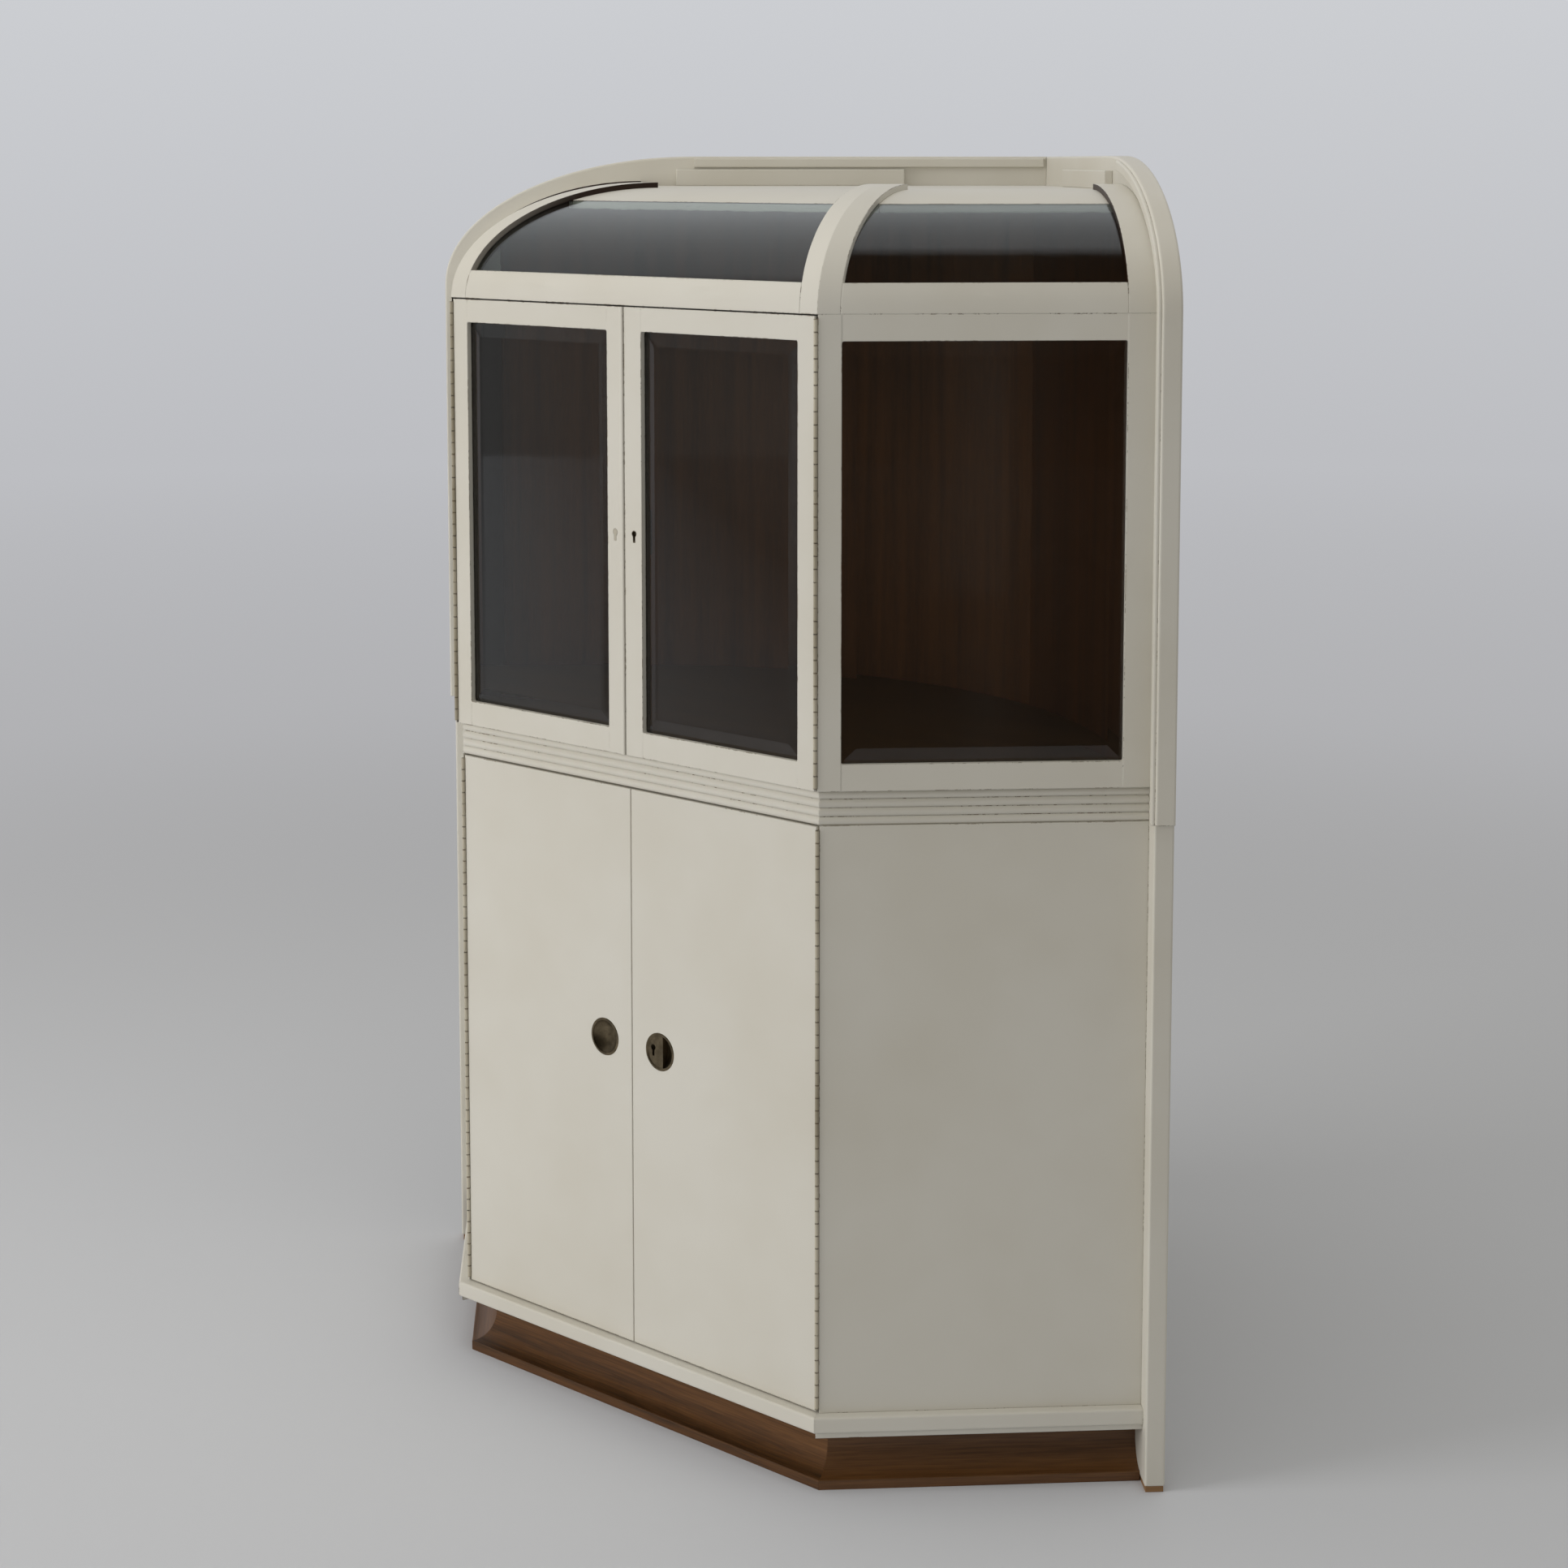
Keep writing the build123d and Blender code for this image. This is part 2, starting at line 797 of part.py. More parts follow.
def inside_back(offset):
    """Everything in front of the bowed back, its face moved back by the offset."""
    radius = back_radius + offset
    centre_y = back_apex - back_radius
    touch = (radius * math.sin(back_slope), centre_y + radius * math.cos(back_slope))
    run = back_radius
    end = (touch[0] + run, touch[1] - run * math.tan(back_slope))
    with BuildSketch(Plane.XY) as sketch:
        with BuildLine():
            ThreePointArc((-touch[0], touch[1]), (0, back_apex + offset), touch)
            Line(touch, end)
            Line(end, (-end[0], end[1]))
            Line((-end[0], end[1]), (-touch[0], touch[1]))
        make_face()
    return Pos(0, 0, deck_top) * extrude(sketch.sketch, amount=roof_bottom - deck_top)


inside_gap = side_frame_thickness + fitting_gap
inside = pentagon(inside_gap, deck_top, roof_bottom)
bowed_back = (inside_back(back_panel_thickness) - inside_back(0)) & inside
above_hood = block(-far, far, -far, hood_run, springing_height, hood_top)
above_hood = above_hood - hood_body(hood_frame_thickness + fitting_gap)
side_above = to_right(above_hood & side_zone(springing_height, hood_top))
bowed_back = bowed_back - side_above - mirrored(side_above)
seam = back_seam_offset
main_length = bowed_back & block(-far, seam, -far, far, 0, total_height)
side_length = bowed_back & block(seam, far, -far, far, 0, total_height)
save("bowed_back", [main_length, side_length])

# Head stop that the upper doors close against
head_stop = block(
    -front_width / 2,
    front_width / 2,
    deck_front,
    deck_front + batten_width,
    springing_height - batten_depth,
    springing_height,
)
save("front_cross_rails", [waist_rail, head_stop])


# Piano hinges: two leaves with alternating knuckles on one long pin
def hinge_leaf(face_in, z0, z1, side, first):
    """One leaf: side is +1 for the fixed leaf and -1 for the door's leaf."""
    x, y = hinge_place(face_in)
    near = hinge_gap / 2 - leaf_thickness
    outer = hinge_gap / 2
    low_x, high_x = sorted((x + side * near, x + side * outer))
    start = y + knuckle_radius + leaf_clear_of_knuckle
    count = int((z1 - z0) / knuckle_length)
    pitch = (z1 - z0) / count
    leaf = block(low_x, high_x, start, start + leaf_width, z0, z1)
    parts = []
    for index in range(first, count, 2):
        low = z0 + index * pitch + knuckle_gap / 2
        high = z0 + (index + 1) * pitch - knuckle_gap / 2
        parts.append(upright_rod((x, y), knuckle_radius, low, high))
        parts.append(block(low_x, high_x, y, start, low, high))
    leaf = leaf.fuse(*parts)
    bore_radius = hinge_pin_radius + hinge_pin_fit
    return leaf - upright_rod((x, y), bore_radius, z0 - cut_over, z1 + cut_over)


hinges = [
    ("upper", 0.0, upper_bottom, upper_door_top),
    ("lower", lower_setback, lower_door_bottom, lower_door_top),
]
pins = []
fixed_leaves = []
for level, face_in, door_low, door_high in hinges:
    low, high = door_low + hinge_end_margin, door_high - hinge_end_margin
    fixed = hinge_leaf(face_in, low, high, 1, 0)
    moving = hinge_leaf(face_in, low, high, -1, 1)
    pin = upright_rod(hinge_place(face_in), hinge_pin_radius, low, high)
    fixed_leaves.extend([fixed, mirrored(fixed)])
    save(f"{level}_right_hinge_leaf", moving)
    save(f"{level}_left_hinge_leaf", mirrored(moving))
    pins.extend([pin, mirrored(pin)])
save("fixed_hinge_leaves", fixed_leaves)
save("hinge_pins", pins)


# Locks: a surface case behind the right door's meeting edge, a sliding bolt, and a
# keep on the left door that the bolt enters
def keyhole(x, z, y0, y1, scale=1.0):
    """Keyhole: a round eye over a straight slot."""
    eye = keyhole_width / 2 * scale
    slot = keyhole_slot / 2 * scale
    drop = keyhole_height * scale - eye
    slot_part = block(x - slot, x + slot, y0, y1, z - drop, z)
    return level_rod(x, z, eye, y0, y1) + slot_part


def lock_parts(face_in, centre_z, case_width):
    """Case, bolt and keep, drawn for a door whose face is at this depth."""
    back = face_in + door_thickness
    edge = meeting_gap / 2 + bolt_start_gap
    half_height = lock_case_height / 2
    case = block(
        edge, edge + case_width, back, back + lock_case_depth,
        centre_z - half_height, centre_z + half_height,
    )
    bolt_y = back + lock_case_depth / 2
    bolt = block(
        edge, edge + bolt_width,
        bolt_y - bolt_thickness / 2, bolt_y + bolt_thickness / 2,
        centre_z - bolt_height / 2, centre_z + bolt_height / 2,
    )
    room = bolt_clearance
    channel = block(
        edge - cut_over, edge + bolt_width + room,
        bolt_y - bolt_thickness / 2 - room, bolt_y + bolt_thickness / 2 + room,
        centre_z - bolt_height / 2 - room, centre_z + bolt_height / 2 + room,
    )
    works = block(
        edge + bolt_width + room + lock_wall, edge + case_width - lock_wall,
        back + lock_wall, back + lock_case_depth - lock_wall,
        centre_z - half_height + lock_wall, centre_z + half_height - lock_wall,
    )
    keep_x1 = -edge
    keep_x0 = keep_x1 - strike_width
    keep = block(
        keep_x0, keep_x1, back, back + lock_case_depth,
        centre_z - strike_height / 2, centre_z + strike_height / 2,
    )
    reach = keep_x1 - bolt_travel - strike_clearance
    slack = strike_clearance
    mouth = block(
        reach, keep_x1 + cut_over,
        back - cut_over, bolt_y + bolt_thickness / 2 + slack,
        centre_z - bolt_height / 2 - slack, centre_z + bolt_height / 2 + slack,
    )
    return case - channel - works, bolt, keep - mouth


# Upper doors: glazed frames with bevelled plates
meeting_edge = meeting_gap / 2
upper_hinge_edge = front_width / 2 - hinge_gap
door_pieces = glazed_frame(
    meeting_edge,
    upper_hinge_edge,
    upper_bottom,
    upper_door_top,
    side_stile_width,
    stile_width,
    bottom_rail_width,
    top_rail_width - door_top_gap,
    0,
    door_thickness,
)
door_glass_x0 = meeting_edge + side_stile_width
door_glass_x1 = upper_hinge_edge - stile_width
key_x = meeting_edge + keyhole_inset
key_cut = keyhole(key_x, lock_height, -cut_over, door_thickness + cut_over)
liner_scale = 1 - 2 * keyhole_liner_wall / keyhole_width
liner_end = keyhole_liner_depth + cut_over
liner = keyhole(key_x, lock_height, 0, keyhole_liner_depth)
liner = liner - keyhole(key_x, lock_height, -cut_over, liner_end, liner_scale)
plug = keyhole(-key_x, lock_height, 0, keyhole_liner_depth)
plug_seat = keyhole(-key_x, lock_height, -cut_over, keyhole_liner_depth)
upper_case, upper_bolt, upper_keep = lock_parts(0, lock_height, lock_case_width)
upper_case = upper_case - keyhole(
    key_x, lock_height, door_thickness - cut_over, door_thickness + lock_wall + cut_over
)
meeting_bead = block(
    -meeting_edge - meeting_bead_width,
    -meeting_edge,
    -meeting_bead_rise,
    0,
    upper_bottom,
    upper_door_top,
)
bead_edges = meeting_bead.edges().filter_by(Axis.Z).group_by(Axis.Y)[0]
meeting_bead = fillet(bead_edges, meeting_bead_round)
upper_glass = bevelled_glass(
    door_glass_x0, door_glass_x1, opening_bottom, opening_top, 0
)
upper_beads = glazing_beads(
    door_glass_x0, door_glass_x1, opening_bottom, opening_top, 0, door_thickness
)
right_frame = [piece - upper_relief for piece in door_pieces]
left_frame = [mirrored(piece) for piece in right_frame]
save("upper_right_door_frame", [piece - key_cut for piece in right_frame])
save("upper_left_door_frame", [piece - plug_seat for piece in left_frame])
save("upper_right_door_glass", upper_glass)
save("upper_left_door_glass", mirrored(upper_glass))
save("upper_right_glazing_beads", upper_beads)
save("upper_left_glazing_beads", [mirrored(bead) for bead in upper_beads])
save("upper_meeting_bead", meeting_bead)
save("upper_keyhole_liner", liner)
save("upper_keyhole_plug", plug)
save("upper_lock_case", upper_case)
save("upper_lock_bolt", upper_bolt)
save("upper_lock_keep", upper_keep)


# Lower doors: flush slabs with round finger pulls let into the face
bowl = pull_radius - pull_rim
bowl_depth = pull_depth - pull_wall
bowl_floor = (0, bowl_depth)
bowl_side = (bowl * pull_bowl_fullness, bowl_depth * pull_bowl_fullness)
bowl_edge = (bowl, pull_step)


def pull_profile():
    """Half section of the dished cup, turned about its own axis later."""
    lip = pull_rim_rise
    with BuildSketch(Plane.XY) as sketch:
        with BuildLine():
            Line((0, pull_depth), bowl_floor)
            ThreePointArc(bowl_floor, bowl_side, bowl_edge)
            Line(bowl_edge, (bowl, 0))
            Line((bowl, 0), (bowl + lip, -lip))
            Line((bowl + lip, -lip), (pull_radius - lip, -lip))
            Line((pull_radius - lip, -lip), (pull_radius, 0))
            Line((pull_radius, 0), (bowl + pull_wall, 0))
            Line((bowl + pull_wall, 0), (bowl + pull_wall, pull_depth))
            Line((bowl + pull_wall, pull_depth), (0, pull_depth))
        make_face()
    return sketch.sketch


def bowl_profile():
    """Half section of the hollow in the cup."""
    with BuildSketch(Plane.XY) as sketch:
        with BuildLine():
            Line((0, 0), bowl_floor)
            ThreePointArc(bowl_floor, bowl_side, bowl_edge)
            Line(bowl_edge, (bowl, 0))
            Line((bowl, 0), (0, 0))
        make_face()
    return sketch.sketch


def at_pull(shape, x):
    return Pos(x, lower_setback, pull_height) * shape


cup = revolve(pull_profile(), Axis.Y)
cup_body = bowl + pull_wall
pull_seat = level_rod(0, 0, cup_body, 0, pull_depth)
lower_hinge_edge = corner_point(lower_setback)[0] - hinge_gap
door_slab = block(
    meeting_edge,
    lower_hinge_edge,
    lower_setback,
    lower_setback + door_thickness,
    lower_door_bottom,
    lower_door_top,
)
slab_edges = door_slab.edges().filter_by(Axis.Z).group_by(Axis.X)[0]
door_slab = fillet(slab_edges, panel_edge_round) - lower_relief
pull_x = meeting_edge + pull_inset
left_door_slab = mirrored(door_slab) - at_pull(pull_seat, -pull_x)
lower_key_x = pull_x - pull_key_offset
lower_key = keyhole(
    lower_key_x,
    pull_height + keyhole_width / 2,
    lower_setback - pull_rim_rise - cut_over,
    lower_setback + door_thickness + cut_over,
)
lower_case, lower_bolt, lower_keep = lock_parts(
    lower_setback, pull_height, lower_case_width
)
inside_face = lower_setback + door_thickness
case_key = keyhole(
    lower_key_x,
    pull_height + keyhole_width / 2,
    inside_face - cut_over,
    inside_face + lock_wall + cut_over,
)
plate_keep = block(
    -pull_radius, pull_plate_reach, -cut_over, pull_depth, -pull_radius, pull_radius
)
filled_part = revolve(bowl_profile(), Axis.Y) & plate_keep
plate_radius = bowl - pull_land
plate_seat = level_rod(0, 0, plate_radius, 0, pull_plate) & plate_keep
plate_disc = level_rod(0, 0, plate_radius - fitting_gap, 0, pull_plate)
right_cup = at_pull(cup + filled_part - plate_seat, pull_x) - lower_key
pull_cover = at_pull(plate_disc & plate_keep, pull_x) - lower_key
save("lower_left_door_panel", left_door_slab)
right_door_slab = door_slab - at_pull(pull_seat, pull_x) - lower_key
save("lower_right_door_panel", right_door_slab)
save("lower_left_pull", at_pull(cup, -pull_x))
save("lower_right_pull", right_cup)
save("lower_pull_cover", pull_cover)
save("lower_lock_case", lower_case - case_key)
save("lower_lock_bolt", lower_bolt)
save("lower_lock_keep", lower_keep)

overall_width = 2 * side_point(board_out, -upper_board_reach)[0]
print("overall width", round(overall_width, 1))
print("overall depth", round(back_limit - front_limit, 1))
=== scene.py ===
# %% [markdown]
# # A corner display cabinet, dressed for rendering
# The cabinet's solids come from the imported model, in metres, with Z up. Their shapes
# are right already, so this lesson is mostly about finishes: old oil paint, stained
# and varnished wood, bevelled glass, dark bronze and dull steel. The only pieces
# built here are the slotted heads of the screws, which the model leaves out.

# %% Load the solids
import math

import bmesh
import bpy
from mathutils import Matrix, Vector


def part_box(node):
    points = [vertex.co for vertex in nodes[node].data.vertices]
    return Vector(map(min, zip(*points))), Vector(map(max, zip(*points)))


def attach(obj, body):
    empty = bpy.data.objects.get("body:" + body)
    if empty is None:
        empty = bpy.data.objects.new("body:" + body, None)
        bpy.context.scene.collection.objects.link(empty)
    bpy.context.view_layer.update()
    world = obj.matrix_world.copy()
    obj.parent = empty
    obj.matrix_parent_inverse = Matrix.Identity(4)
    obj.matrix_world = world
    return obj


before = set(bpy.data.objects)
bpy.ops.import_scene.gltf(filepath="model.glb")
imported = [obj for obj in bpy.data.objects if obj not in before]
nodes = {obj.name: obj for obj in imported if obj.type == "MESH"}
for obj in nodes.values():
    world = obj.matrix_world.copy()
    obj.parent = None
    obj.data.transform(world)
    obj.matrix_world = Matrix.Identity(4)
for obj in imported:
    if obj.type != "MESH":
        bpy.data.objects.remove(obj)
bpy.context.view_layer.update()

# %% [markdown]
# ## Camera
# The photograph was taken with a long lens from the right, at the height of the
# cabinet's top and looking slightly down. Its frame was shifted down, as with a
# shift lens, so that the upright edges stay nearly upright. A camera could be set by
# eye, but a small error shows along every long edge. So the place, the direction and
# the lens were worked out by fitting the cabinet's corners to the photograph.

# %% Camera
camera_data = bpy.data.cameras.new("photo_camera")
camera_data.lens = 64.84
camera_data.sensor_width = 36.0
camera_data.shift_y = -0.2043
camera = bpy.data.objects.new("photo_camera", camera_data)
bpy.context.scene.collection.objects.link(camera)
camera.location = (2.8053, -3.3647, 1.8424)
# Angles in radians: from +X round to the left, and up from level
yaw = 2.2924
pitch = -0.1067
look = Vector(
    (
        math.cos(yaw) * math.cos(pitch),
        math.sin(yaw) * math.cos(pitch),
        math.sin(pitch),
    )
)
camera.rotation_euler = look.to_track_quat("-Z", "Y").to_euler()
bpy.context.scene.camera = camera
print("camera at", tuple(round(v, 3) for v in camera.location))

# %% [markdown]
# ## Colours, nodes and patterns
# Colours are written as they look on a screen, as sRGB hex, and Blender's shaders
# want linear light, so one function turns them. Another adds any shader node with
# its settings and links. Where it is given a node as a value, it links that node's
# first output in use, which keeps each material short enough to read. A pattern's
# size is given in millimetres, and a third function turns it into a texture's scale.


# %% Colours
def linear(hex_colour):
    """Linear RGBA from an sRGB hex colour."""
    channels = []
    for start in (0, 2, 4):
        value = int(hex_colour[start : start + 2], 16) / 255
        if value <= 0.04045:
            channels.append(value / 12.92)
        else:
            channels.append(((value + 0.055) / 1.055) ** 2.4)
    return (*channels, 1.0)


print("half grey in linear light:", round(linear("808080")[0], 3))


# %% Shader nodes
def add(tree, kind, inputs=None, stops=(), **settings):
    """A shader node with its settings, its inputs filled with values or linked.

    Stops are the (place, hex colour) pairs of a colour ramp.
    """
    made = tree.nodes.new("ShaderNode" + kind)
    for name, value in settings.items():
        setattr(made, name, value)
    for name, value in (inputs or {}).items():
        socket = made.inputs[name]
        if isinstance(value, bpy.types.Node):
            value = next(output for output in value.outputs if output.enabled)
        if isinstance(value, bpy.types.NodeSocket):
            tree.links.new(value, socket)
        else:
            socket.default_value = value
    for index, (place, hex_colour) in enumerate(stops):
        elements = made.color_ramp.elements
        if index == len(elements):
            elements.new(place)
        elements[index].position = place
        elements[index].color = linear(hex_colour)
    return made


def new_material(name):
    """An empty material and its node tree, ready for a shader and an output."""
    material = bpy.data.materials.new(name)
    material.use_nodes = True
    material.node_tree.nodes.clear()
    return material, material.node_tree


# %% Pattern sizes
def per_metre(size_mm):
    """Texture scale for marks of a real size: whole marks in a metre."""
    return float(round(1000 / size_mm))


print("marks of 2.5 mm take a scale of", per_metre(2.5))

# %% [markdown]
# ## The stained inside of painted frames
# Inside the display space the frames are stained dark, on the same boards whose
# outsides are painted cream. The boards could be cut in two, or their faces given
# two materials, but the solids stay as the model has them. So a paint can take a
# mask: a small set of nodes that gives 1 on the faces that look into the space.
#
# For straight frames the mask compares the way a face looks with one direction. The
# hood's ribs are curved, so they are compared with the way to the middle of the
# space. A wall board's cream part and dark strip lie in one plane, so there the mask
# also asks for the place: behind the side frame, and between the floor of the space
# and the doors' top.

# %% Sizes of the display space
DIAGONAL = math.sqrt(0.5)
HINGE_GAP = 0.0036
SIDE_FRAME_THICKNESS = 0.022
door_low, door_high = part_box("upper_right_door_frame")
door_face = door_low.y
door_top = door_high.z
deck_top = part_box("display_floor")[1].z
# The front meets a fixed side a hinge's gap beyond the door's edge
corner_x = door_high.x + HINGE_GAP
space_middle = (0.0, door_face + 0.36, door_top - 0.20)
# How far inwards a side frame's back lies, measured square to that side
frame_back = DIAGONAL * (door_face - corner_x) + SIDE_FRAME_THICKNESS
print("display space from", round(deck_top, 3), "to", round(door_top, 3), "m high")

# %% Masks of the stained faces
# A face counts when it looks within about 70 degrees of the direction
WITHIN_70_DEGREES = {"From Min": 0.25, "From Max": 0.35}


def looks_along(direction):
    """Mask of the faces that look in one direction."""

    def mask(tree, place, normal):
        agreement = add(
            tree, "VectorMath", {0: normal, 1: direction}, operation="DOT_PRODUCT"
        )
        return add(tree, "MapRange", {"Value": agreement, **WITHIN_70_DEGREES})

    return mask


def looks_to_middle(tree, place, normal):
    """Mask of the faces that look to the middle of the display space."""
    ray = add(tree, "VectorMath", {0: space_middle, 1: place}, operation="SUBTRACT")
    ray = add(tree, "VectorMath", {0: ray}, operation="NORMALIZE")
    agreement = add(tree, "VectorMath", {0: normal, 1: ray}, operation="DOT_PRODUCT")
    return add(tree, "MapRange", {"Value": agreement, **WITHIN_70_DEGREES})


def strip_inside(hand):
    """Mask of a wall board's strip between the side frame and the bowed back."""
    facing = (-DIAGONAL * hand, -DIAGONAL, 0.0)
    inward = (-DIAGONAL * hand, DIAGONAL, 0.0)

    def mask(tree, place, normal):
        shares = []
        for vector, direction, low, high in (
            (normal, facing, 0.8, 0.9),
            (place, inward, frame_back - 0.0005, frame_back),
            (place, (0.0, 0.0, -1.0), -door_top, -door_top + 0.001),
            (place, (0.0, 0.0, 1.0), deck_top - 0.001, deck_top),
        ):
            along = add(
                tree, "VectorMath", {0: vector, 1: direction}, operation="DOT_PRODUCT"
            )
            limits = {"Value": along, "From Min": low, "From Max": high}
            shares.append(add(tree, "MapRange", limits))
        whole = shares[0]
        for share in shares[1:]:
            whole = add(tree, "Math", {0: whole, 1: share}, operation="MULTIPLY")
        return whole

    return mask


print("masks for the doors, sides, hood, roof and wall boards")

# %% [markdown]
# ## Old cream paint
# The cabinet is painted wood: several brushed coats of cream oil paint, which dry to
# a satin skin. The paint has yellowed unevenly and keeps faint upright brush lines.
# It has chipped off the sharp edges, where bare wood and older, darker coats show,
# so the eye reads each edge as a thin broken line.
#
# The chips could be painted on an image or along marked edges, but then every solid
# would need its own map. A Bevel node finds the edges of any solid: its normal turns
# away from the face's own normal only near an edge. Two noises multiplied with that
# band break it up into separate chips, which the colour and the relief share. Dried
# oil has an IOR near 1.48, and a roughness of 0.36 to 0.50 gives the satin sheen.


# %% Chips on the edges
def edge_chips(tree, place, chipping):
    """Mask of the chips, the colour in them, and the normal softened at the edges."""
    # Band along the edges, about 2.6 mm wide
    soft = add(tree, "Bevel", {"Radius": 0.0026}, samples=6)
    flat = add(tree, "NewGeometry").outputs["Normal"]
    agreement = add(tree, "VectorMath", {0: soft, 1: flat}, operation="DOT_PRODUCT")
    edge = add(
        tree, "MapRange", {"Value": agreement, "From Min": 0.999, "From Max": 0.90}
    )

    # Chips 3 to 10 mm long, in patches that leave most of the edge whole
    grit = add(
        tree,
        "TexNoise",
        {"Vector": place, "Scale": per_metre(5.88), "Detail": 4.0, "Roughness": 0.65},
    )
    patches = add(
        tree,
        "TexNoise",
        {"Vector": place, "Scale": per_metre(58.8), "Detail": 3.0, "Roughness": 0.6},
    )
    broken = add(tree, "Math", {0: grit, 1: patches}, operation="MULTIPLY")
    worn = add(tree, "Math", {0: broken, 1: edge}, operation="MULTIPLY")
    start = 0.36 - chipping
    chip = add(
        tree, "MapRange", {"Value": worn, "From Min": start, "From Max": start + 0.03}
    )
    bare = add(
        tree, "ValToRGB", {"Fac": patches}, stops=[(0.42, "33291F"), (0.62, "75634A")]
    )
    return chip, bare, soft


# %% Cream paint
FRESH_CREAM = "D6D3CA"
AGED_CREAM = "D1CDC2"
INNER_BROWN = "2E1C11"


def cream_paint(name, chipping, inside=None, fresh=FRESH_CREAM, aged=AGED_CREAM):
    """Old oil paint, with the dark stain instead where the mask called inside is 1."""
    material, tree = new_material(name)
    place = add(tree, "TexCoord").outputs["Object"]

    # Slow change of tint over a third of a metre, as the paint has yellowed
    clouds = add(
        tree,
        "TexNoise",
        {"Vector": place, "Scale": per_metre(333), "Detail": 3.0, "Roughness": 0.6},
    )
    tint = add(tree, "ValToRGB", {"Fac": clouds}, stops=[(0.35, aged), (0.62, fresh)])

    # Brush lines: noise drawn out upright. Real bristle marks are finer than the
    # render's pixels, so these are 1.5 mm apart, which only just shows
    brush = (per_metre(1.538), per_metre(1.538), per_metre(111))
    stretched = add(tree, "Mapping", {"Vector": place, "Scale": brush})
    bristles = add(
        tree, "TexNoise", {"Vector": stretched, "Scale": 1.0, "Detail": 2.0}
    )

    chip, bare, soft = edge_chips(tree, place, chipping)
    colour = add(tree, "Mix", {"Factor": chip, "A": tint, "B": bare}, data_type="RGBA")
    if inside:
        normal = add(tree, "TexCoord").outputs["Normal"]
        share = inside(tree, place, normal)
        stain = {"Factor": share, "A": colour, "B": linear(INNER_BROWN)}
        colour = add(tree, "Mix", stain, data_type="RGBA")

    brushed = add(
        tree,
        "Bump",
        {"Height": bristles, "Strength": 0.10, "Distance": 0.00008, "Normal": soft},
    )
    chipped = add(
        tree,
        "Bump",
        {"Height": chip, "Strength": 0.5, "Distance": 0.0003, "Normal": brushed},
        invert=True,
    )
    satin = add(tree, "MapRange", {"Value": clouds, "To Min": 0.36, "To Max": 0.50})
    shader = add(
        tree,
        "BsdfPrincipled",
        {"Base Color": colour, "Roughness": satin, "IOR": 1.48, "Normal": chipped},
    )
    add(tree, "OutputMaterial", {"Surface": shader})
    return material


# %% Paints
paint = cream_paint("cream_oil_paint", 0.06)
edge_paint = cream_paint("cream_paint_worn_edges", 0.10)
door_paint = cream_paint("cream_paint_doors", 0.09, looks_along((0.0, 1.0, 0.0)))
roof_paint = cream_paint("cream_paint_roof", 0.04, looks_along((0.0, 0.0, -1.0)))
hood_paint = cream_paint("cream_paint_hood", 0.09, looks_to_middle)
side_paint = {}
board_paint = {}
for side, hand in (("right", 1), ("left", -1)):
    inward = (-DIAGONAL * hand, DIAGONAL, 0.0)
    side_paint[side] = cream_paint(
        f"cream_paint_side_{side}", 0.09, looks_along(inward)
    )
    board_paint[side] = cream_paint(
        f"cream_paint_wall_board_{side}", 0.08, strip_inside(hand)
    )
# The knuckles rub as the doors swing, so their paint has chipped most; its cream is also
# darker
hinge_paint = cream_paint("cream_paint_on_hinges", 0.19, fresh="C4BDAB", aged="978E7A")
# The left door's keyhole is filled and painted over, with no sharp edge left to chip
filler = cream_paint("painted_keyhole_filler", 0.0, fresh="BDB7A9", aged="ADA696")
print("paints:", sorted(m.name for m in bpy.data.materials if "paint" in m.name))

# %% [markdown]
# ## Wood
# The plinth is stained oak under a thin worn varnish, dark with a broken sheen. The
# back and floor of the display space are varnished mahogany veneer, which is redder
# and more even. The feet and the inside of the cupboard are bare softwood, pale and
# matt, and the glazing beads carry the same dark stain as the frames' insides.
#
# A photograph of a board could give the grain, but it would repeat, and it has no
# depth for the cut ends. Here grain is noise drawn out along the boards, the fine
# fibres mixed with broad bands, so it runs through the whole solid. Real fibres are
# under half a millimetre wide and wouldn't show, so they are drawn coarser, at the
# size in millimetres that each wood is given. Boards run in different directions, so
# the function turns the grain about Z or stands it upright. Roughness and the share
# of varnish, which is a clear coat, set how much each wood shines.

# %% Wood grain
# Fibres are 33 times longer than wide, and the bands 17 times coarser than the fibres
ALONG_GRAIN = 0.03
BANDS = 0.06


